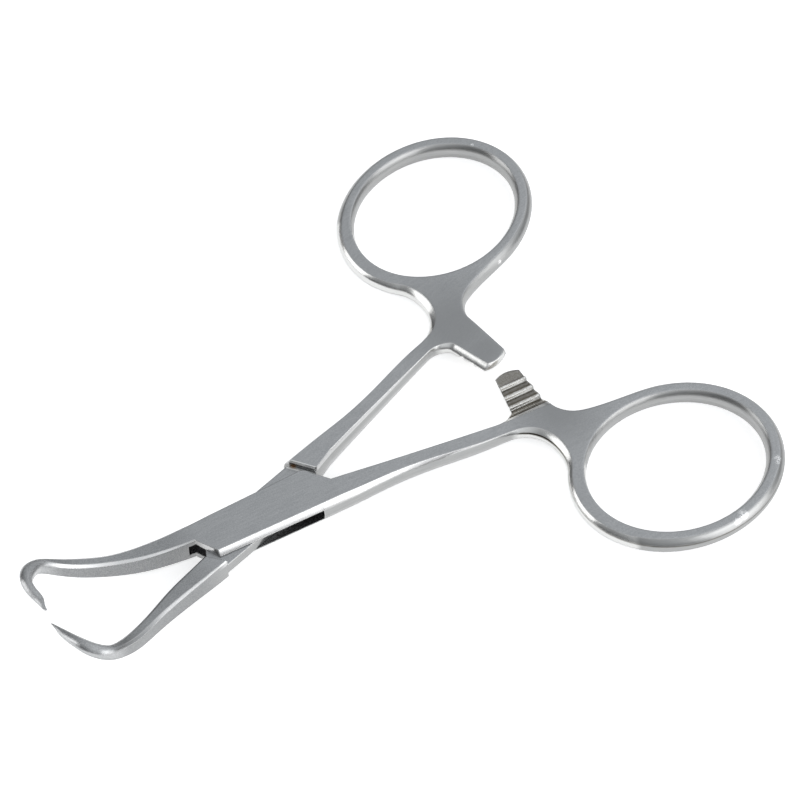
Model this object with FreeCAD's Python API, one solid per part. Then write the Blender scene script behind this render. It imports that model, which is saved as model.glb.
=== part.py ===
import FreeCAD, Part
import math
import os

# A small ringed towel clamp with a box lock: a box half, a slide half and a flush pivot pin.
# Millimetres. The origin is on the pivot axis in the resting plane, +X towards the jaw tips, +Z up.
# Each half is drawn in its own arm frame: the arm along X, the finger ring on the +Y side, which is
# called the outer side, and z = 0 at mid-thickness. The slide half is then mirrored, and both are swung open.

REST_HALF_ANGLE = 8.7          # each arm's swing from the centre line as the clamp lies open
BEYOND = 60.0                  # a reach past everything, for cutting shapes

# Box lock
BODY_THICKNESS = 3.7
SLOT_HEIGHT = 1.9
LOCK_CLEARANCE = 0.05          # between the neck and each wall of the slot
PIN_RADIUS = 1.0
PIN_CLEARANCE = 0.04           # radial, in the neck

# Side walls are crowned: widest at mid-thickness and drawn in by the crown at CROWN_LEVEL
CROWN_LEVEL = 1.95
CROWN_STEPS = (-1.0, -0.5, 0.0, 0.5, 1.0)
SIDE_CROWN = 0.8
RING_CROWN = 1.4
HOLE_CROWN = 0.9
FAR_CROWN = 0.2                # on the box's inner side, which runs on into the jaw

# Plan of the box
OUTER_Y = 3.32                 # outer side of the box and of the slide half's shoulder
BOX_JAW_X = 8.7                # the box ends and its jaw begins
BOX_MOUTH_X = 6.92             # the outer side ends here, at the jaws' end
BOX_MOUTH_Y = 0.15
BOX_BACK_X = -7.0              # the outer side runs into the shank
BOX_JAW_Y = -2.28              # inner side at the jaw
BOX_BULGE_X = -6.4             # fullest point of the inner side
BOX_BULGE_Y = -2.98
BOX_WAIST_EDGE = ((-2.56, -2.78), (0.0, -2.68))    # inner side between the bulge and the jaw
BOX_CORNER_X = -7.65           # the rounded corner starts here and ends at the bulge
BOX_CORNER_Y = -2.13
BOX_CORNER_MIDDLE_X = -7.2
BOX_CORNER_MIDDLE_Y = -2.74
BOX_HEEL_X = -9.45             # the shank's inner edge meets the box
BOX_HEEL_Y = 0.0

# Plan of the slot: one end, and the same turned half round the pivot for the other
SLOT_END_X = -6.88
SLOT_END_Y = 2.7
SLOT_KNEE_X = -9.75
SLOT_KNEE_Y = -0.2
SLOT_FLARE_X = -12.0
SLOT_FLARE_Y = -4.0

# Slide half: shoulders on both sides of the neck
NECK_OUTER_EDGE = ((-9.6, 0.6), (-8.9, 2.68), (6.0, 2.68), (7.3, 2.0), (8.6, 0.4))
NECK_INNER_EDGE = ((9.6, 0.1), (9.0, -1.0), (7.9, -2.25), (0.8, -2.25), (-1.5, -2.42), (-4.0, -2.62),
                   (-7.0, -2.3), (-8.4, -1.2))
BACK_SHOULDER_X = -8.75        # inner end of the shoulder at the shank
BACK_SHOULDER_Y = -0.2
BACK_SHOULDER_CUT_X = -9.1     # its inner corner is cut off to here
BACK_SHOULDER_CUT_Y = -0.4
BACK_SHOULDER_SLOPE = 0.49     # how far the shoulder comes forward for each millimetre outwards
GROOVE_WIDTH = 0.34            # undercut groove at the foot of the back shoulder
GROOVE_DEPTH = 0.3
FRONT_SHOULDER_X = 9.3         # outer end of the shoulder at the jaw
FRONT_SHOULDER_Y = 0.4
FRONT_SHOULDER_FOOT_X = 7.6
FRONT_SHOULDER_FOOT_Y = -2.3

# Finger ring
RING_CENTRE_X = -47.8
RING_CENTRE_Y = 17.08
RING_HOLE_LONG = 11.44         # semi-axes of the finger hole at mid-thickness
RING_HOLE_SHORT = 9.31
RING_BAND_LONG = 2.36          # band width at the ends of the long axis
RING_BAND_SHORT = 2.14
RING_HALF_THICKNESS = 1.4
RING_JOIN_LOW = 332.0          # ellipse angles where the shank and the tab blend into the ring
RING_JOIN_HIGH = 258.0

# Shank
SHANK_INNER_X = -31.0          # the inner edge is straight from here to the lock
SHANK_INNER_Y = 1.98
SHANK_ROOT_X = -12.0
SHANK_ROOT_Y = 0.05
SHANK_END_HALF_THICKNESS = 1.05
SWELL_START_X = -33.0          # the thickness grows from the shank's to the ring's between these
SWELL_MIDDLE_X = -36.5
SWELL_END_X = -43.0
SWELL_EASE = 2.0               # run over which the swell levels out into the ring
SHANK_OUTER_EDGE = ((-12.0, 3.24), (-16.7, 3.07), (-24.4, 3.53), (-30.5, 4.0))
CROTCH_X = -34.0               # bend of the outer edge below the ring
CROTCH_Y = 4.85
CROTCH_CROWN = 2.6             # its wall leans in this many times the shank's
CROTCH_SIDE_X = -35.7
CROTCH_SIDE_Y = 6.9

# Ratchet tab
BOX_TAB_NEAR_X = -34.05
SLIDE_TAB_NEAR_X = -33.65
TAB_FAR_X = -38.5
TAB_TIP_Y = -4.95
TAB_WAIST_Y = 0.5              # the tab's sides are straight from here to the tip
TAB_CORNER = 0.45
TAB_NEAR_CROWN = 2.6           # the tab's near side leans in this many times the shank's wall
TAB_FAR_CROWN = 0.7
TAB_TIP_CROWN = 0.5
TAB_ROOT_RUN = 0.55            # size of the curve from the tab's near side into the shank
TAB_ROOT_RISE = 0.8
TAB_FAR_BEND = ((-42.65, 5.2), (-40.1, 4.35), (-38.8, 2.7))    # far edge between the ring and the tab
TAB_FAR_LEAN = ((0.3, 1.0), (0.6, 0.8), (0.9, 0.4))            # which way its wall leans in at each point
TAB_CUT_MARGIN = 1.5           # the cut for the teeth reaches this far past the tab's sides
TAB_LAND_SHARE = 0.6           # depth of the land at the tip, as a share of the teeth's height
TAB_RAMP_GAP = 0.25            # from the last tooth to the ramp up to the full thickness
TAB_RAMP_SLOPE = 0.85
TOOTH_PITCH = 1.54
BOX_TOOTH_COUNT = 3
SLIDE_TOOTH_COUNT = 2
BOX_TOOTH_HEIGHT = 0.42
SLIDE_TOOTH_HEIGHT = 0.26
TOOTH_CREST = 0.22
TOOTH_BACK = 0.15              # run of the steep back of a tooth
TOOTH_LEAD = 1.95              # from the tab's tip to its first crest
TOOTH_CLEARANCE = 0.04         # from each tab's tooth crests to the mid-plane

# Jaw stations: x, y, z of the centre, in-plane width, thickness, corner chamfer
JAW_SECTION_COUNT = 22
JAW_STATIONS = (
    (6.6, -1.05, 0.0, 2.4, BODY_THICKNESS, 0.14),
    (8.6, -1.05, 0.0, 2.38, BODY_THICKNESS, 0.16),
    (11.6, -1.12, 0.12, 2.2, 3.5, 0.22),
    (14.8, -1.29, 0.42, 1.98, 3.3, 0.28),
    (19.1, -1.92, 1.13, 1.5, 2.95, 0.32),
    (22.6, -2.66, 2.36, 1.45, 2.5, 0.33),
    (25.2, -3.1, 3.98, 1.3, 2.1, 0.33),
)
# The box half's hook stands a little high and the slide half's a little low, so that they cross when closed
BOX_HOOK_STATIONS = (
    (27.55, -2.95, 5.95, 1.3, 1.85, 0.35),
    (28.65, -2.2, 6.8, 1.65, 1.6, 0.38),
    (29.5, -0.6, 7.5, 1.3, 1.4, 0.36),
    (29.25, 1.7, 7.5, 1.05, 0.9, 0.26),
    (29.05, 3.8, 7.65, 0.34, 0.3, 0.09),
)
SLIDE_HOOK_STATIONS = (
    (27.4, -2.95, 5.9, 1.3, 1.75, 0.35),
    (28.3, -2.1, 6.65, 1.4, 1.6, 0.38),
    (28.9, -0.55, 6.95, 1.25, 1.35, 0.36),
    (29.15, 1.55, 6.6, 0.95, 0.85, 0.24),
    (29.3, 3.8, 6.6, 0.12, 0.12, 0.03),
)


def vec(x, y, z=0.0):
    return FreeCAD.Vector(x, y, z)


def plate(points, z_low, z_high):
    """A straight-sided plate from a closed list of plan corners."""
    corners = [vec(x, y, z_low) for x, y in points]
    face = Part.Face(Part.makePolygon(corners + corners[:1]))
    return face.extrude(vec(0, 0, z_high - z_low))


def spline(points, start=None, end=None):
    """A smooth edge through plan points, with end directions where they are given."""
    curve = Part.BSplineCurve()
    if start is None:
        curve.interpolate([vec(*p) for p in points])
    else:
        curve.interpolate([vec(*p) for p in points], InitialTangent=vec(*start), FinalTangent=vec(*end))
    return curve.toShape()


def turned_half_round(points):
    return [(-x, -y) for x, y in points]


def ring_axes(inset):
    """Long and short semi-axes of the ring's outside, drawn in by the inset."""
    return RING_HOLE_LONG + RING_BAND_LONG - inset, RING_HOLE_SHORT + RING_BAND_SHORT - inset


def ring_point(angle, inset):
    a = math.radians(angle)
    long_axis, short_axis = ring_axes(inset)
    return RING_CENTRE_X + long_axis * math.cos(a), RING_CENTRE_Y + short_axis * math.sin(a)


def ring_tangent(angle, inset):
    a = math.radians(angle)
    long_axis, short_axis = ring_axes(inset)
    return -0.1 * long_axis * math.sin(a), 0.1 * short_axis * math.cos(a)


def shank_outer(start, inset, ring_inset):
    """Outer edge of the shank, from the lock end round the crotch to the ring."""
    points = [start] + [(x, y - inset) for x, y in SHANK_OUTER_EDGE]
    points.append((CROTCH_X - 0.4 * inset, CROTCH_Y - CROTCH_CROWN * inset))
    points.append((CROTCH_SIDE_X - CROTCH_CROWN * inset, CROTCH_SIDE_Y - 0.5 * inset))
    points.append(ring_point(RING_JOIN_LOW, ring_inset))
    return [spline(points, (-1.0, 0.0), ring_tangent(RING_JOIN_LOW, ring_inset))]


def ratchet_tab(tab_near_x, inset, ring_inset):
    """Edges of the tab: down its far side from the ring, round its tip and up its near side into the shank."""
    far_x = TAB_FAR_X + TAB_FAR_CROWN * inset
    near_x = tab_near_x - TAB_NEAR_CROWN * inset
    tip_y = TAB_TIP_Y + TAB_TIP_CROWN * inset
    bend = [(x + u * inset, y + v * inset) for (x, y), (u, v) in zip(TAB_FAR_BEND, TAB_FAR_LEAN)]
    far = spline([ring_point(RING_JOIN_HIGH, ring_inset)] + bend + [(far_x, TAB_WAIST_Y)],
                 ring_tangent(RING_JOIN_HIGH, ring_inset), (0.1, -1.0))
    far_corner = vec(far_x + 0.8 * TAB_CORNER, tip_y + TAB_CORNER)
    near_corner = vec(near_x - 1.4 * TAB_CORNER, tip_y + TAB_CORNER)
    tip = Part.Arc(far_corner, vec(0.5 * (far_corner.x + near_corner.x), tip_y), near_corner).toShape()
    near = spline(
        [(near_x, TAB_WAIST_Y), (near_x + TAB_ROOT_RUN + 0.2 * inset, TAB_WAIST_Y + TAB_ROOT_RISE + 0.6 * inset),
         (SHANK_INNER_X, SHANK_INNER_Y + inset)], (0.1, 1.0), (1.0, -0.11))
    return [far, Part.makeLine(vec(far_x, TAB_WAIST_Y), far_corner), tip,
            Part.makeLine(near_corner, vec(near_x, TAB_WAIST_Y)), near]


def handle_outline(lock_end, tab_near_x, share):
    """Closed plan of the handle where the side walls have drawn in by this share of their crowns.

    lock_end lists the edges at the lock, from the shank's inner edge round to its outer edge.
    """
    inset = SIDE_CROWN * share
    ring_inset = RING_CROWN * share
    ring = Part.Ellipse(vec(RING_CENTRE_X, RING_CENTRE_Y), *ring_axes(ring_inset))
    ring_arc = ring.toShape(math.radians(RING_JOIN_LOW - 360.0), math.radians(RING_JOIN_HIGH))
    first = lock_end[0].firstVertex().Point
    last = lock_end[-1].lastVertex().Point
    shank_end = vec(SHANK_INNER_X, SHANK_INNER_Y + inset)
    shank_root = vec(SHANK_ROOT_X, SHANK_ROOT_Y + 0.35 * inset)
    inner = Part.makePolygon([shank_end, shank_root, first]).Edges
    outer = shank_outer((last.x, last.y), inset, ring_inset)
    return Part.Wire(outer + [ring_arc] + ratchet_tab(tab_near_x, inset, ring_inset) + inner + lock_end)


def crowned(wire_at):
    """A smooth solid through plan wires whose shares of the crown grow away from mid-thickness."""
    wires = []
    for step in CROWN_STEPS:
        wire = wire_at(step * step)
        wire.translate(vec(0, 0, step * CROWN_LEVEL))
        wires.append(wire)
    return Part.makeLoft(wires, True, False)


def side_profile():
    """Side view of the handle: full thickness at the lock, slimmer shank, thicker ring."""
    half = 0.5 * BODY_THICKNESS
    ring = RING_HALF_THICKNESS
    slim = SHANK_END_HALF_THICKNESS
    taper = SHANK_INNER_X - BOX_HEEL_X
    upper = [(SHANK_INNER_X, 0, slim), (SWELL_START_X, 0, slim), (SWELL_MIDDLE_X, 0, 0.5 * (slim + ring)),
             (SWELL_END_X + SWELL_EASE, 0, ring), (SWELL_END_X, 0, ring)]
    under = [(x, y, -z) for x, y, z in upper]
    swell = spline(upper, (taper, 0.0, slim - half), (-1, 0, 0))
    under_swell = spline(under, (taper, 0.0, half - slim), (-1, 0, 0))
    front = Part.makePolygon([vec(SHANK_INNER_X, 0, slim), vec(BOX_HEEL_X, 0, half), vec(BEYOND, 0, half),
                              vec(BEYOND, 0, -half), vec(BOX_HEEL_X, 0, -half), vec(SHANK_INNER_X, 0, -slim)])
    back = Part.makePolygon([vec(SWELL_END_X, 0, ring), vec(-2 * BEYOND, 0, ring), vec(-2 * BEYOND, 0, -ring),
                             vec(SWELL_END_X, 0, -ring)])
    face = Part.Face(Part.Wire(Part.__sortEdges__([swell, under_swell] + front.Edges + back.Edges)))
    face.translate(vec(0, -BEYOND, 0))
    return face.extrude(vec(0, 2 * BEYOND, 0))


def hole_outline(share):
    growth = HOLE_CROWN * share
    hole = Part.Ellipse(vec(RING_CENTRE_X, RING_CENTRE_Y), RING_HOLE_LONG + growth, RING_HOLE_SHORT + growth)
    return Part.Wire([hole.toShape()])


def tab_relief(tooth_count, tooth_height):
    """What is taken from the upper half of a tab: teeth seen from above, with a ramp up at the root."""
    crest = -TOOTH_CLEARANCE
    base = crest - tooth_height
    land = crest - TAB_LAND_SHARE * tooth_height
    first_crest = TAB_TIP_Y + TOOTH_LEAD
    before_tip = TAB_TIP_Y - TAB_CUT_MARGIN
    profile = [(before_tip, BODY_THICKNESS), (before_tip, land), (first_crest - TOOTH_CREST - TOOTH_BACK, land)]
    for i in range(tooth_count):
        start = first_crest - 0.5 * TOOTH_CREST + i * TOOTH_PITCH
        profile.append((start, crest))
        profile.append((start + TOOTH_CREST, crest))
        profile.append((start + TOOTH_CREST + TOOTH_BACK, base))
    ramp_y = profile[-1][0] + TAB_RAMP_GAP
    profile.append((ramp_y, base))
    profile.append((ramp_y + (BODY_THICKNESS - base) / TAB_RAMP_SLOPE, BODY_THICKNESS))
    corners = [vec(TAB_FAR_X - TAB_CUT_MARGIN, y, z) for y, z in profile]
    face = Part.Face(Part.makePolygon(corners + corners[:1]))
    return face.extrude(vec(SLIDE_TAB_NEAR_X - TAB_FAR_X + 2 * TAB_CUT_MARGIN, 0, 0))


def handle(lock_end_at, tab_near_x):
    """Shank, tab and ring with the lock end whose edges lock_end_at gives for each share of the crown."""
    body = crowned(lambda share: handle_outline(lock_end_at(share), tab_near_x, share))
    return body.common(side_profile()).cut(crowned(hole_outline))


def jaw_curves(stations):
    """Smooth curves through the jaw stations: one for the centre line, one for the section sizes."""
    centres = [vec(*row[:3]) for row in stations]
    sizes = [vec(*row[3:]) for row in stations]
    reach = [0.0]
    for before, after in zip(centres, centres[1:]):
        reach.append(reach[-1] + (after - before).Length)
    path = Part.BSplineCurve()
    path.interpolate(Points=centres, Parameters=reach)
    section = Part.BSplineCurve()
    section.interpolate(Points=sizes, Parameters=reach)
    return path, section, reach[-1]


def jaw_section(centre, along, size):
    """A chamfered rectangle square to the jaw's centre line. size holds its width, thickness and chamfer."""
    across = vec(0, 0, 1).cross(along).normalize()
    upward = along.cross(across)
    a = 0.5 * size.x
    b = 0.5 * size.y
    k = size.z
    upper = [(a, b - k), (a - k, b), (k - a, b), (-a, b - k)]
    corners = [centre + across * u + upward * v for u, v in upper + turned_half_round(upper)]
    return Part.makePolygon(corners + corners[:1])


def jaw(hook_stations):
    """The jaw as one smooth loft from the lock, curving up and ending in an inward hook."""
    path, section, length = jaw_curves(JAW_STATIONS + hook_stations)
    wires = []
    for i in range(JAW_SECTION_COUNT + 1):
        reach = length * i / JAW_SECTION_COUNT
        along = vec(*path.tangent(reach)[0]) if i else vec(1, 0, 0)
        wires.append(jaw_section(path.value(reach), along, section.value(reach)))
    half = 0.5 * BODY_THICKNESS
    side = [(0, -half), (BEYOND, -half), (BEYOND, BEYOND), (BOX_JAW_X, BEYOND), (BOX_JAW_X, half), (0, half)]
    corners = [vec(x, -BEYOND, z) for x, z in side]
    above_rest = Part.Face(Part.makePolygon(corners + corners[:1])).extrude(vec(0, 2 * BEYOND, 0))
    return Part.makeLoft(wires, True, False).common(above_rest)


def box_lock_end(share):
    """Edges of the box in plan, from the shank's inner edge round by the jaw to the outer side."""
    outer_y = OUTER_Y - SIDE_CROWN * share
    far = FAR_CROWN * share
    bulge = vec(BOX_BULGE_X, BOX_BULGE_Y + far)
    heel = vec(BOX_HEEL_X, BOX_HEEL_Y)
    turn_start = vec(BOX_CORNER_X, BOX_CORNER_Y + far)
    turn_middle = vec(BOX_CORNER_MIDDLE_X, BOX_CORNER_MIDDLE_Y + far)
    jaw_foot = vec(BOX_JAW_X, BOX_JAW_Y + far)
    turn = [Part.makeLine(heel, turn_start), Part.Arc(turn_start, turn_middle, bulge).toShape()]
    waist = [(x, y + far) for x, y in BOX_WAIST_EDGE]
    far_side = spline([(bulge.x, bulge.y)] + waist + [(jaw_foot.x, jaw_foot.y)])
    mouth = Part.makePolygon([jaw_foot, vec(BOX_JAW_X, BOX_MOUTH_Y), vec(BOX_MOUTH_X, outer_y),
                              vec(BOX_BACK_X, outer_y)])
    return turn + [far_side] + mouth.Edges


def slot():
    half = 0.5 * SLOT_HEIGHT
    back = [(SLOT_END_X, SLOT_END_Y + OUTER_Y), (SLOT_END_X, SLOT_END_Y), (SLOT_KNEE_X, SLOT_KNEE_Y),
            (SLOT_FLARE_X, SLOT_FLARE_Y)]
    return plate(back + turned_half_round(back), -half, half)


def box_half():
    """The half whose middle is a box, slotted from side to side for the other half's neck."""
    hole = Part.makeCylinder(PIN_RADIUS, BODY_THICKNESS, vec(0, 0, -0.5 * BODY_THICKNESS))
    rear = handle(box_lock_end, BOX_TAB_NEAR_X).cut(tab_relief(BOX_TOOTH_COUNT, BOX_TOOTH_HEIGHT)).cut(slot())
    return rear.cut(hole).fuse(jaw(BOX_HOOK_STATIONS).cut(slot()))


def back_shoulder_point(y):
    return BACK_SHOULDER_X + BACK_SHOULDER_SLOPE * (y - BACK_SHOULDER_Y), y


def slide_lock_end(share):
    """The shoulder at the slide half's shank, from its inner to its outer edge."""
    outer_y = OUTER_Y - SIDE_CROWN * share
    corners = [vec(BACK_SHOULDER_CUT_X, BACK_SHOULDER_CUT_Y), vec(BACK_SHOULDER_X, BACK_SHOULDER_Y),
               vec(*back_shoulder_point(outer_y))]
    return Part.makePolygon(corners).Edges


def neck():
    """The thin middle of the slide half, bored for the pin and grooved along the foot of the back shoulder."""
    half = 0.5 * SLOT_HEIGHT - LOCK_CLEARANCE
    blank = plate(NECK_OUTER_EDGE + NECK_INNER_EDGE, -half, half)
    foot = [back_shoulder_point(-OUTER_Y), back_shoulder_point(OUTER_Y)]
    band = foot + [(x + GROOVE_WIDTH, y) for x, y in reversed(foot)]
    bore = Part.makeCylinder(PIN_RADIUS + PIN_CLEARANCE, BODY_THICKNESS, vec(0, 0, -0.5 * BODY_THICKNESS))
    upper = plate(band, half - GROOVE_DEPTH, BODY_THICKNESS)
    lower = plate(band, -BODY_THICKNESS, GROOVE_DEPTH - half)
    return blank.cut(bore).cut(upper).cut(lower)


def slide_half():
    """The half that passes through the box, thinned to a neck between two shoulders."""
    shoulder = [(FRONT_SHOULDER_X, BEYOND), (FRONT_SHOULDER_X, FRONT_SHOULDER_Y),
                (FRONT_SHOULDER_FOOT_X, FRONT_SHOULDER_FOOT_Y), (FRONT_SHOULDER_FOOT_X, -BEYOND)]
    ahead = plate(shoulder + [(BEYOND, -BEYOND), (BEYOND, BEYOND)], -BEYOND, BEYOND)
    underside = tab_relief(SLIDE_TOOTH_COUNT, SLIDE_TOOTH_HEIGHT).mirror(vec(0, 0, 0), vec(0, 0, 1))
    rear = handle(slide_lock_end, SLIDE_TAB_NEAR_X).cut(underside)
    drawn = rear.fuse(neck()).fuse(jaw(SLIDE_HOOK_STATIONS).common(ahead))
    return drawn.mirror(vec(0, 0, 0), vec(0, 1, 0))


def pivot_pin():
    return Part.makeCylinder(PIN_RADIUS, BODY_THICKNESS, vec(0, 0, -0.5 * BODY_THICKNESS))


def placed(shape, angle):
    """The shape swung about the pivot and lifted so that the box lies on the resting plane."""
    moved = shape.copy()
    moved.rotate(vec(0, 0, 0), vec(0, 0, 1), angle)
    moved.translate(vec(0, 0, 0.5 * BODY_THICKNESS))
    return moved


def main():
    parts = {
        "box_half": placed(box_half(), -REST_HALF_ANGLE),
        "slide_half": placed(slide_half(), REST_HALF_ANGLE),
        "pivot_pin": placed(pivot_pin(), 0.0),
    }
    os.makedirs("parts", exist_ok=True)
    for name, shape in parts.items():
        solid = shape.Solids[0] if len(shape.Solids) == 1 else shape
        print(name, "valid", solid.isValid(), "solids", len(shape.Solids), "volume", round(solid.Volume, 2))
        solid.exportStep("parts/" + name + ".step")


main()
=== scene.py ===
import math
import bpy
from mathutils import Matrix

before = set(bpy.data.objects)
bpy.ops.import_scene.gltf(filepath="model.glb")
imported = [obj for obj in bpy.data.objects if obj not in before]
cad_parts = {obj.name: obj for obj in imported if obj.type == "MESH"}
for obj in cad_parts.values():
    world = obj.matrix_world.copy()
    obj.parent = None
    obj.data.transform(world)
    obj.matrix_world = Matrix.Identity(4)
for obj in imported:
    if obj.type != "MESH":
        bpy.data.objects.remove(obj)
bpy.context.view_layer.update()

from types import SimpleNamespace

import bpy
from mathutils import Matrix, Vector

# Places on the clamp, in metres. Lengths run along each arm, from the pivot towards the jaws.
REST_TURN = math.radians(8.7)  # each arm's turn from the centre line, as in the photo
MID_HEIGHT = 0.00185           # the plane that the halves share, at half the box's thickness
BOX_TOP = 2 * MID_HEIGHT
JAW_START = 0.009
HOOK_START = 0.0245
TAB_START = -0.033             # the ratchet tab lies beyond this
RING_START = -0.038
SHOULDER = -0.00865            # the slide half's back shoulder, where it crosses the arm's middle line
SHOULDER_SLOPE = 0.49

# Each pair below is where a mask is 0 and where it is 1. It is straight between and held outside.
IN_JAW = (JAW_START - 0.001, JAW_START + 0.003)
IN_HOOK = (HOOK_START, HOOK_START + 0.002)
IN_RING = (RING_START + 0.004, RING_START)
BEFORE_RING = (RING_START, RING_START + 0.0005)
LOW_IN_RING = (MID_HEIGHT, 0.0011)
PAST_TAB_START = (TAB_START + 0.001, TAB_START)
STRIP_FROM_TAB = (TAB_START, TAB_START + 0.004)
STRIP_TO_JAW = (JAW_START, JAW_START - 0.001)
STRIP_HEIGHT = (0.0027, 0.0029)
SLOT_REACH = (0.0125, 0.0122)
SLOT_DEPTH = (0.0011, 0.00105)
TOOTH_REACH = (TAB_START + 0.0002, TAB_START - 0.0002)
TOOTH_DEPTH = (0.00062, 0.00056)
TOOTH_SCALE = (0.0, 0.0006)    # from the crests to the deepest groove
LIP_START = (SHOULDER - 0.00022, SHOULDER - 0.00012)
LIP_END = (SHOULDER + 0.00005, SHOULDER)
LIP_HEIGHT = (0.0034, 0.0036)
RIDGE_START = (SHOULDER + 0.00032, SHOULDER + 0.00036)
RIDGE_END = (SHOULDER + 0.00068, SHOULDER + 0.0006)
RIDGE_HEIGHT = (0.0024, 0.0026)

# The same kind of pair, for how far a surface faces up: 0 on an upright wall, 1 on a flat face
FACE_TILT = (0.86, 0.97)
CHAMFER_OVER_WALL = (0.4, 0.5)
CHAMFER_UNDER_FACE = (0.76, 0.7)
SLOT_TILT = (0.9, 0.95)
TOOTH_TILT = (0.25, 0.45)
WORN_TURN = (0.985, 0.9)       # the normal against the rounded one, from flat to a sharp edge

# Shading of the edges and walls
EDGE_ROUND = 0.0002
HOOK_ROUND = 0.0007            # the hooks are ground almost round
RING_ROUND_SHARE = 0.5         # the rings' edges lie half way between the two
RING_EDGE_WEAR = 0.444         # of the wear and painted edge highlight that other edges show
WALL_FULLNESS = 1.4            # the polish rounds the crowned walls a little more than their mesh
BEVEL_SAMPLES = 6
PIN_ZONE = ((0.0, 0.0, BOX_TOP), 0.0016, 0.8)
BUMP_STRENGTH = 0.2
BUMP_HEIGHT = 0.00002
STREAK_RELIEF = 0.3

# Noise patterns: scale, detail, roughness, and stretch where there is one
GRAIN = (5200.0, 3.0, 0.6, (0.07, 1.0, 1.0))
STREAKS = (5200.0, 3.0, 0.6, (0.05, 0.05, 1.0))
CLOUDS = (320.0, 3.0, 0.55)
SPECKLE = (7000.0, 2.0, 0.6)

# Colours of the steel over the patterns
GRAIN_COLOURS = [(0.3, (0.34, 0.35, 0.36)), (0.7, (0.51, 0.52, 0.53))]
CLOUD_COLOURS = [(0.3, (0.39, 0.4, 0.41)), (0.7, (0.47, 0.475, 0.48))]
SPECKLE_COLOURS = [(0.32, (0.27, 0.28, 0.29)), (0.68, (0.57, 0.575, 0.58))]
WALL_COLOURS = [(0.3, (0.33, 0.335, 0.335)), (0.7, (0.4, 0.4, 0.395))]
JAW_COLOURS = [(0.35, (0.19, 0.195, 0.2)), (0.65, (0.33, 0.335, 0.34))]
HOOK_COLOURS = [(0.3, (0.35, 0.355, 0.36)), (0.7, (0.5, 0.505, 0.51))]
# painted shade inside the box half's slot
SLOT_PAINTED_SHADE_COLOURS = [(0.4, (0.1, 0.1, 0.1)), (0.6, (0.3, 0.3, 0.31))]
TARNISH_COLOURS = [(0.38, (0.5, 0.47, 0.42)), (0.6, (1.0, 1.0, 1.0))]
TOOTH_HIGHLIGHT_AND_SHADE_COLOURS = [                # from the crests with a painted highlight, by the sides and lands, to the brown grooves, tarnish with painted shade
    (0.07, (0.9, 0.9, 0.89)),
    (0.12, (0.55, 0.54, 0.52)),
    (0.2, (0.2, 0.18, 0.145)),
    (0.46, (0.38, 0.37, 0.35)),
    (0.52, (0.38, 0.37, 0.35)),
    (0.7, (0.09, 0.075, 0.05)),
]
# painted highlight on the walls' upper strip, from the tab to the lock
STRIP_PAINTED_HIGHLIGHT = (0.62, 0.62, 0.62)
# painted shade on the lower half of the rings' walls
RING_UNDERSIDE_PAINTED_SHADE = (0.25, 0.25, 0.25)
# painted highlight on the walls beside the tab
TAB_SIDE_PAINTED_HIGHLIGHT = (0.66, 0.66, 0.65)
# painted highlight on the jaws' chamfer
CHAMFER_PAINTED_HIGHLIGHT = (0.68, 0.68, 0.68)
# painted highlight on the slide half's shoulder lip and ridge
LIP_PAINTED_HIGHLIGHT = (0.85, 0.85, 0.84)
# painted highlight on the worn edges
EDGE_PAINTED_HIGHLIGHT = (0.62, 0.62, 0.61)
# small bright spots on the rings
RING_SPOT_COLOUR = (0.9, 0.9, 0.9)
# painted shade round the crotches
CROTCH_PAINTED_SHADE_STEEL = (0.315, 0.32, 0.325)

# How much of each colour is mixed in
CLOUD_SHARE = 0.35
SPECKLE_SHARE = 0.4
# share of the painted shade round the crotches
CROTCH_PAINTED_SHADE_SHARE = 0.8
JAW_WALL_SHARE = 0.7
JAW_SHARE = 0.55
# how much painted highlight the jaws' chamfer gets on each half
BOX_CHAMFER_HIGHLIGHT_SHARE = 0.9
SLIDE_CHAMFER_HIGHLIGHT_SHARE = 0.3
# share of the painted edge highlight
EDGE_HIGHLIGHT_SHARE = 0.75
WORN_POLISH_SHARE = 0.8

# Roughness of the steel
FACE_ROUGHNESS = [(0.2, 0.32), (0.8, 0.42)]
WALL_ROUGHNESS = [(0.2, 0.15), (0.8, 0.24)]
RING_WALL_ROUGHNESS = (0.3, 0.3, 0.3)
JAW_ROUGHNESS = (0.3, 0.3, 0.3)
HOOK_ROUGHNESS = (0.2, 0.2, 0.2)
WORN_ROUGHNESS = (0.15, 0.15, 0.15)

# Rust, small bright spots and patches of painted shade: each has a centre, a radius and the share of the radius
# that is solid
RUST_SPOT = ((-0.0072, -0.0034, 0.0027), 0.00055, 0.3)
RUST = (0.34, 0.2, 0.09)
RING_SPOT_SPECKLE = (0.46, 0.5)       # the bright spots are broken up by the speckle
BRIGHT_RING_SPOTS = (
    ((-0.0459, 0.0348, 0.0032), 0.0008, 0.3),
    ((-0.0448, 0.0351, 0.0030), 0.0006, 0.3),
    ((-0.0545, 0.0313, 0.00325), 0.0006, 0.3),
    ((-0.0541, 0.0317, 0.00325), 0.0004, 0.3),
    ((-0.0551, -0.0297, 0.00325), 0.0003, 0.3),
    ((-0.0465, -0.0128, 0.0024), 0.0004, 0.3),
)
# patches of painted shade round the crotches
CROTCH_PAINTED_SHADE_PATCHES = (
    ((-0.0355, -0.0081, 0.0030), 0.0095, 0.2),
    ((-0.0380, 0.0098, 0.0030), 0.0070, 0.2),
    ((-0.0362, -0.0028, 0.0030), 0.0050, 0.2),
)

# The sockets of a mix node, which go by number because their names repeat
MIX_FACTOR = 0
VECTORS_IN, VECTOR_OUT = (4, 5), 1
COLOURS_IN, COLOUR_OUT = (6, 7), 2


def add_node(tree, kind, **settings):
    node = tree.nodes.new(kind)
    for name, value in settings.items():
        setattr(node, name, value)
    return node


def feed(tree, source, target):
    tree.links.new(source, target)


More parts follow.
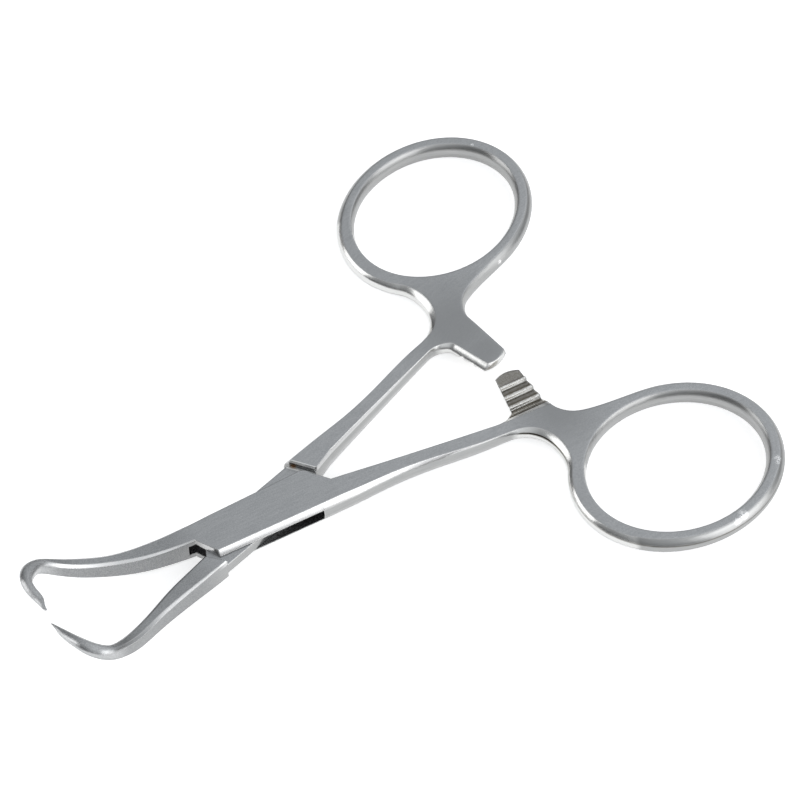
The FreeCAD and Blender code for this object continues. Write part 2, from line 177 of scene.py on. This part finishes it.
def ramp(tree, factor, stops):
    """A colour ramp with the given (place, colour) stops, where a single number is a grey."""
    node = add_node(tree, "ShaderNodeValToRGB")
    steps = node.color_ramp
    while len(steps.elements) < len(stops):
        steps.elements.new(0.5)
    for element, (place, colour) in zip(steps.elements, stops):
        element.position = place
        element.color = (colour, colour, colour, 1.0) if isinstance(colour, float) else (*colour, 1.0)
    feed(tree, factor, node.inputs["Fac"])
    return node.outputs["Color"]


def noise(tree, vector, scale, detail, roughness, stretch=(1.0, 1.0, 1.0)):
    """A noise pattern on the given coordinates, drawn out where a factor of stretch is under 1."""
    mapping = add_node(tree, "ShaderNodeMapping")
    mapping.inputs["Scale"].default_value = stretch
    feed(tree, vector, mapping.inputs["Vector"])
    pattern = add_node(tree, "ShaderNodeTexNoise")
    pattern.inputs["Scale"].default_value = scale
    pattern.inputs["Detail"].default_value = detail
    pattern.inputs["Roughness"].default_value = roughness
    feed(tree, mapping.outputs["Vector"], pattern.inputs["Vector"])
    return pattern.outputs["Fac"]


def mix(tree, factor, first, second, blend="MIX"):
    """The first colour at factor 0 and the second at 1. The factor and the colours are sockets or constants."""
    node = add_node(tree, "ShaderNodeMix", data_type="RGBA", blend_type=blend)
    if isinstance(factor, float):
        node.inputs[MIX_FACTOR].default_value = factor
    else:
        feed(tree, factor, node.inputs[MIX_FACTOR])
    for socket, colour in zip(COLOURS_IN, (first, second)):
        if isinstance(colour, tuple):
            node.inputs[socket].default_value = (*colour, 1.0)
        else:
            feed(tree, colour, node.inputs[socket])
    return node.outputs[COLOUR_OUT]


def maths(tree, operation, first, second=None):
    node = add_node(tree, "ShaderNodeMath", operation=operation)
    for socket, value in zip(node.inputs, (first, second)):
        if isinstance(value, float):
            socket.default_value = value
        elif value is not None:
            feed(tree, value, socket)
    return node.outputs[0]


def rise(tree, value, low, high, start=0.0, end=1.0):
    """start where the value is at low, end at high, straight between and held outside. low may be the larger."""
    node = add_node(tree, "ShaderNodeMapRange")
    feed(tree, value, node.inputs["Value"])
    node.inputs["From Min"].default_value = low
    node.inputs["From Max"].default_value = high
    node.inputs["To Min"].default_value = start
    node.inputs["To Max"].default_value = end
    return node.outputs["Result"]


def outside(tree, mask):
    return rise(tree, mask, 1.0, 0.0)


def share(tree, mask, amount):
    return maths(tree, "MULTIPLY", mask, amount)


def all_of(tree, first, *others):
    """The product of masks."""
    for other in others:
        first = maths(tree, "MULTIPLY", first, other)
    return first


def strongest(tree, first, *others):
    """The largest of masks."""
    for other in others:
        first = maths(tree, "MAXIMUM", first, other)
    return first


def spot(tree, place, centre, radius, core):
    """1 inside core times the radius from the centre, fading to 0 at the radius."""
    apart = add_node(tree, "ShaderNodeVectorMath", operation="DISTANCE")
    feed(tree, place, apart.inputs[0])
    apart.inputs[1].default_value = centre
    return rise(tree, apart.outputs["Value"], radius, radius * core)


def parts_of(tree, vector):
    """The X, Y and Z of a vector."""
    node = add_node(tree, "ShaderNodeSeparateXYZ")
    feed(tree, vector, node.inputs[0])
    return node.outputs["X"], node.outputs["Y"], node.outputs["Z"]


def places(tree, arm_turn):
    """Where a point of the surface is on its arm, which way it faces, and the noise patterns there."""
    place = add_node(tree, "ShaderNodeTexCoord").outputs["Object"]
    turned = add_node(tree, "ShaderNodeMapping")
    turned.inputs["Rotation"].default_value = (0.0, 0.0, arm_turn)
    feed(tree, place, turned.inputs["Vector"])
    along, across, height = parts_of(tree, turned.outputs["Vector"])
    normal = add_node(tree, "ShaderNodeNewGeometry").outputs["Normal"]
    upwards = parts_of(tree, normal)[2]
    facing_up = maths(tree, "ABSOLUTE", upwards)
    return SimpleNamespace(
        place=place,
        along=along,
        across=across,
        height=height,
        depth=maths(tree, "ABSOLUTE", maths(tree, "SUBTRACT", height, MID_HEIGHT)),
        normal=normal,
        upwards=upwards,
        facing_up=facing_up,
        on_face=rise(tree, facing_up, *FACE_TILT),
        in_jaw=rise(tree, along, *IN_JAW),
        in_hook=rise(tree, along, *IN_HOOK),
        in_ring=rise(tree, along, *IN_RING),
        grain=noise(tree, turned.outputs["Vector"], *GRAIN),
        streaks=noise(tree, place, *STREAKS),
        clouds=noise(tree, place, *CLOUDS),
        speckle=noise(tree, place, *SPECKLE),
    )


def rounded_edges(tree, at):
    """The normal, rounded at the edges and fuller on the crowned walls, and the mask of the worn edges, which
    also carry a painted highlight.
    """
    bevel = add_node(tree, "ShaderNodeBevel", samples=BEVEL_SAMPLES)
    rounder = strongest(tree, at.in_hook, share(tree, at.in_ring, RING_ROUND_SHARE))
    feed(tree, rise(tree, rounder, 0.0, 1.0, EDGE_ROUND, HOOK_ROUND), bevel.inputs["Radius"])

    off_pin = outside(tree, spot(tree, at.place, *PIN_ZONE))
    turn = add_node(tree, "ShaderNodeVectorMath", operation="DOT_PRODUCT")
    feed(tree, at.normal, turn.inputs[0])
    feed(tree, bevel.outputs["Normal"], turn.inputs[1])
    worn_and_highlighted_edge = all_of(tree, rise(tree, turn.outputs["Value"], *WORN_TURN), off_pin, outside(tree, at.in_hook),
                       rise(tree, at.in_ring, 0.0, 1.0, 1.0, RING_EDGE_WEAR))

    fuller = add_node(tree, "ShaderNodeVectorMath", operation="MULTIPLY")
    feed(tree, bevel.outputs["Normal"], fuller.inputs[0])
    fuller.inputs[1].default_value = (1.0, 1.0, WALL_FULLNESS)
    blend = add_node(tree, "ShaderNodeMix", data_type="VECTOR")
    feed(tree, off_pin, blend.inputs[MIX_FACTOR])
    for socket, vector in zip(VECTORS_IN, (at.normal, fuller.outputs["Vector"])):
        feed(tree, vector, blend.inputs[socket])
    unit = add_node(tree, "ShaderNodeVectorMath", operation="NORMALIZE")
    feed(tree, blend.outputs[VECTOR_OUT], unit.inputs[0])
    return unit.outputs["Vector"], worn_and_highlighted_edge


def face_colour(tree, at):
    """Satin ground faces, with painted shade round the crotches."""
    colour = mix(tree, CLOUD_SHARE, ramp(tree, at.grain, GRAIN_COLOURS), ramp(tree, at.clouds, CLOUD_COLOURS))
    colour = mix(tree, SPECKLE_SHARE, colour, ramp(tree, at.speckle, SPECKLE_COLOURS))
    crotch_painted_shade = strongest(tree, *(spot(tree, at.place, *patch) for patch in CROTCH_PAINTED_SHADE_PATCHES))
    return mix(tree, share(tree, crotch_painted_shade, CROTCH_PAINTED_SHADE_SHARE), colour, CROTCH_PAINTED_SHADE_STEEL)


def wall_colour(tree, at, jaw_steel):
    """Polished walls: a painted highlight on the upper strip from tab to lock and beside the tab, painted shade
    low in the rings, greyer elsewhere.
    """
    colour = ramp(tree, at.streaks, WALL_COLOURS)
    # painted highlight along the walls' upper strip
    painted_highlight_strip = all_of(tree, rise(tree, at.height, *STRIP_HEIGHT), rise(tree, at.along, *STRIP_FROM_TAB),
                          rise(tree, at.along, *STRIP_TO_JAW))
    colour = mix(tree, painted_highlight_strip, colour, STRIP_PAINTED_HIGHLIGHT)
    # painted shade low on the rings' walls
    painted_shade_low_in_ring = all_of(tree, rise(tree, at.height, *LOW_IN_RING), at.in_ring)
    colour = mix(tree, painted_shade_low_in_ring, colour, RING_UNDERSIDE_PAINTED_SHADE)
    # painted highlight on the walls beside the tab
    painted_highlight_by_tab = all_of(tree, rise(tree, at.along, *PAST_TAB_START), rise(tree, at.along, *BEFORE_RING))
    colour = mix(tree, painted_highlight_by_tab, colour, TAB_SIDE_PAINTED_HIGHLIGHT)
    return mix(tree, share(tree, at.in_jaw, JAW_WALL_SHARE), colour, jaw_steel)


def jaw_marks(tree, at, half, jaw_steel, colour):
    """Greyer jaws with a painted highlight on the chamfer, and round hooks."""
    colour = mix(tree, share(tree, at.in_jaw, JAW_SHARE), colour, jaw_steel)
    # painted highlight on the jaws' chamfer
    chamfer = all_of(tree, at.in_jaw, rise(tree, at.facing_up, *CHAMFER_OVER_WALL),
                     rise(tree, at.facing_up, *CHAMFER_UNDER_FACE), outside(tree, at.in_hook))
    chamfer_highlight_share = SLIDE_CHAMFER_HIGHLIGHT_SHARE if half == "slide_half" else BOX_CHAMFER_HIGHLIGHT_SHARE
    colour = mix(tree, share(tree, chamfer, chamfer_highlight_share), colour, CHAMFER_PAINTED_HIGHLIGHT)
    return mix(tree, at.in_hook, colour, ramp(tree, at.speckle, HOOK_COLOURS))


def slot_painted_shade(tree, at, colour):
    """The box half's slot, with painted shade inside."""
    painted_shade_in_slot = all_of(tree, rise(tree, at.depth, *SLOT_DEPTH), rise(tree, at.facing_up, *SLOT_TILT),
                     rise(tree, maths(tree, "ABSOLUTE", at.along), *SLOT_REACH))
    return mix(tree, painted_shade_in_slot, colour, ramp(tree, at.speckle, SLOT_PAINTED_SHADE_COLOURS))


def shoulder_painted_highlights(tree, at, colour):
    """A painted highlight on the lip of the slide half's back shoulder, and on the ridge in the groove below it.
    """
    past_step = maths(tree, "ADD", at.along, maths(tree, "MULTIPLY", at.across, SHOULDER_SLOPE))
    lip = all_of(tree, at.on_face, rise(tree, past_step, *LIP_START), rise(tree, past_step, *LIP_END),
                 rise(tree, at.height, *LIP_HEIGHT))
    ridge = all_of(tree, at.on_face, rise(tree, past_step, *RIDGE_START), rise(tree, past_step, *RIDGE_END),
                   rise(tree, at.height, *RIDGE_HEIGHT))
    return mix(tree, strongest(tree, lip, ridge), colour, LIP_PAINTED_HIGHLIGHT)


def tooth_marks(tree, at, half, colour):
    """The ratchet's teeth: crests with a painted highlight and tarnished grooves with painted shade, on the
    underside of the slide half's tab.
    """
    toothed_side = maths(tree, "MULTIPLY", at.upwards, -1.0 if half == "slide_half" else 1.0)
    in_teeth = all_of(tree, rise(tree, at.depth, *TOOTH_DEPTH), rise(tree, toothed_side, *TOOTH_TILT),
                      rise(tree, at.along, *TOOTH_REACH))
    # crests get a painted highlight, grooves tarnish with painted shade
    tooth = ramp(tree, rise(tree, at.depth, *TOOTH_SCALE), TOOTH_HIGHLIGHT_AND_SHADE_COLOURS)
    tooth = mix(tree, 1.0, tooth, ramp(tree, at.speckle, TARNISH_COLOURS), "MULTIPLY")
    return mix(tree, in_teeth, colour, tooth)


def wear_and_highlight_marks(tree, at, worn_and_highlighted_edge, colour):
    """A painted highlight on the worn edges, a rust spot in the back shoulder's groove, and small bright spots
    on the rings.
    """
    # painted highlight on the worn edges
    colour = mix(tree, share(tree, worn_and_highlighted_edge, EDGE_HIGHLIGHT_SHARE), colour, EDGE_PAINTED_HIGHLIGHT)
    colour = mix(tree, spot(tree, at.place, *RUST_SPOT), colour, RUST)
    broken = rise(tree, at.speckle, *RING_SPOT_SPECKLE)
    bright_ring_spots = strongest(tree, *(all_of(tree, spot(tree, at.place, *ring_spot), broken) for ring_spot in BRIGHT_RING_SPOTS))
    return mix(tree, bright_ring_spots, colour, RING_SPOT_COLOUR)


def steel_roughness(tree, at, worn_and_highlighted_edge):
    walls = mix(tree, at.in_ring, ramp(tree, at.streaks, WALL_ROUGHNESS), RING_WALL_ROUGHNESS)
    rough = mix(tree, at.on_face, walls, ramp(tree, at.grain, FACE_ROUGHNESS))
    rough = mix(tree, at.in_jaw, rough, JAW_ROUGHNESS)
    rough = mix(tree, at.in_hook, rough, HOOK_ROUGHNESS)
    return mix(tree, share(tree, worn_and_highlighted_edge, WORN_POLISH_SHARE), rough, WORN_ROUGHNESS)


def satin_steel(half, arm_turn):
    """Ground stainless steel: satin grain along the arm on the faces, polished walls and worn edges, with
    painted highlights and painted shade in places.
    """
    material = bpy.data.materials.new(half + "_satin_steel")
    material.use_nodes = True
    tree = material.node_tree
    shader = tree.nodes["Principled BSDF"]
    shader.inputs["Metallic"].default_value = 1.0
    at = places(tree, arm_turn)
    rounded, worn_and_highlighted_edge = rounded_edges(tree, at)

    jaw_steel = ramp(tree, at.speckle, JAW_COLOURS)
    colour = mix(tree, at.on_face, wall_colour(tree, at, jaw_steel), face_colour(tree, at))
    colour = jaw_marks(tree, at, half, jaw_steel, colour)
    if half == "box_half":
        colour = slot_painted_shade(tree, at, colour)
    if half == "slide_half":
        colour = shoulder_painted_highlights(tree, at, colour)
    colour = tooth_marks(tree, at, half, colour)
    colour = wear_and_highlight_marks(tree, at, worn_and_highlighted_edge, colour)
    feed(tree, colour, shader.inputs["Base Color"])
    feed(tree, steel_roughness(tree, at, worn_and_highlighted_edge), shader.inputs["Roughness"])

    relief = maths(tree, "ADD", all_of(tree, at.grain, at.on_face), share(tree, at.streaks, STREAK_RELIEF))
    bump = add_node(tree, "ShaderNodeBump")
    bump.inputs["Strength"].default_value = BUMP_STRENGTH
    bump.inputs["Distance"].default_value = BUMP_HEIGHT
    feed(tree, relief, bump.inputs["Height"])
    feed(tree, rounded, bump.inputs["Normal"])
    feed(tree, bump.outputs["Normal"], shader.inputs["Normal"])
    return material


arm_turns = {"box_half": REST_TURN, "slide_half": -REST_TURN, "pivot_pin": REST_TURN}
for node_name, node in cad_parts.items():
    node.data.materials.clear()
    node.data.materials.append(satin_steel(node_name, arm_turns[node_name]))


FLOOR_SIZE = 3.0
FLOOR_HEIGHT = -0.0002
FLOOR_WHITE = (0.8, 0.8, 0.8, 1.0)
FLOOR_ROUGHNESS = 0.9
FLOOR_GLOW = 0.6                 # lifts the lit floor to white in the picture


def pale_floor():
    """A plain floor that looks white to the camera and in reflections, and keeps the clamp's soft shadow."""
    bpy.ops.object.select_all(action="DESELECT")
    bpy.ops.mesh.primitive_plane_add(size=FLOOR_SIZE, location=(0.0, 0.0, FLOOR_HEIGHT))
    floor = bpy.context.object
    floor.name = "pale_floor"
    material = bpy.data.materials.new("pale_floor")
    material.use_nodes = True
    tree = material.node_tree
    shader = tree.nodes["Principled BSDF"]
    shader.inputs["Base Color"].default_value = FLOOR_WHITE
    shader.inputs["Roughness"].default_value = FLOOR_ROUGHNESS
    shader.inputs["Specular IOR Level"].default_value = 0.0
    shader.inputs["Emission Color"].default_value = (1.0, 1.0, 1.0, 1.0)
    rays = add_node(tree, "ShaderNodeLightPath").outputs
    seen = strongest(tree, rays["Is Camera Ray"], rays["Is Glossy Ray"], rays["Is Transmission Ray"])
    feed(tree, share(tree, seen, FLOOR_GLOW), shader.inputs["Emission Strength"])
    floor.data.materials.append(material)


pale_floor()


DOME_COLOURS = [                 # from the horizon to straight above
    (0.0, (0.1, 0.1, 0.1)),
    (0.12, (0.22, 0.22, 0.225)),
    (0.45, (0.7, 0.72, 0.74)),
    (1.0, (0.84, 0.86, 0.88)),
]
DARK_SIDE = (0.8, -0.6, 0.0)     # points to the side of the room that is darker
DARK_SIDE_RANGE = (-0.5, 0.5)
DARK_SIDE_SHADES = [(0.0, 1.0), (0.5, 0.75), (1.0, 0.32)]
ROOM_STRENGTH = 1.25


def studio_room():
    """A soft grey dome, darker towards the horizon and on one side, as in a small studio."""
    world = bpy.data.worlds.new("studio_room")
    bpy.context.scene.world = world
    world.use_nodes = True
    tree = world.node_tree
    shade = tree.nodes["Background"]
    direction = add_node(tree, "ShaderNodeTexCoord").outputs["Generated"]
    dome = ramp(tree, parts_of(tree, direction)[2], DOME_COLOURS)
    side = add_node(tree, "ShaderNodeVectorMath", operation="DOT_PRODUCT")
    feed(tree, direction, side.inputs[0])
    side.inputs[1].default_value = DARK_SIDE
    darker_side = ramp(tree, rise(tree, side.outputs["Value"], *DARK_SIDE_RANGE), DARK_SIDE_SHADES)
    feed(tree, mix(tree, 1.0, dome, darker_side, "MULTIPLY"), shade.inputs["Color"])
    shade.inputs["Strength"].default_value = ROOM_STRENGTH


studio_room()


LAMP_AIM = Vector((0.0, 0.0, 0.05))


def soft_lamp(name, place, size, power):
    lamp = bpy.data.lights.new(name, "AREA")
    lamp.shape = "RECTANGLE"
    lamp.size, lamp.size_y = size
    lamp.energy = power
    holder = bpy.data.objects.new(name, lamp)
    bpy.context.scene.collection.objects.link(holder)
    holder.location = place
    holder.rotation_euler = (LAMP_AIM - Vector(place)).to_track_quat("-Z", "Y").to_euler()


soft_lamp("left_softbox", place=(-0.235, 0.44, 0.22), size=(0.45, 0.44), power=1.15)
soft_lamp("right_softbox", place=(0.41, -0.287, 0.28), size=(0.45, 0.55), power=1.3)


# The camera's pose, fitted to the photo's outlines
CAMERA_LENS = 124.66
CAMERA_SENSOR = 36.0
CAMERA_PLACE = Vector((0.094113, 0.149909, 0.283214))
CAMERA_RIGHT = Vector((-0.79783306, 0.60285988, 0.00472956))
CAMERA_UP = Vector((-0.4945185, -0.65889953, 0.56683583))
CAMERA_BACK = Vector((0.34483888, 0.44990152, 0.82381719))

camera = bpy.data.cameras.new("photo_camera")
camera.lens = CAMERA_LENS
camera.sensor_width = CAMERA_SENSOR
camera.clip_start = 0.01
camera.clip_end = 10.0
stand = bpy.data.objects.new("photo_camera", camera)
bpy.context.scene.collection.objects.link(stand)
stand.matrix_world = Matrix((
    (CAMERA_RIGHT.x, CAMERA_UP.x, CAMERA_BACK.x, CAMERA_PLACE.x),
    (CAMERA_RIGHT.y, CAMERA_UP.y, CAMERA_BACK.y, CAMERA_PLACE.y),
    (CAMERA_RIGHT.z, CAMERA_UP.z, CAMERA_BACK.z, CAMERA_PLACE.z),
    (0.0, 0.0, 0.0, 1.0),
))
bpy.context.scene.camera = stand
bpy.context.scene.view_settings.view_transform = "Standard"
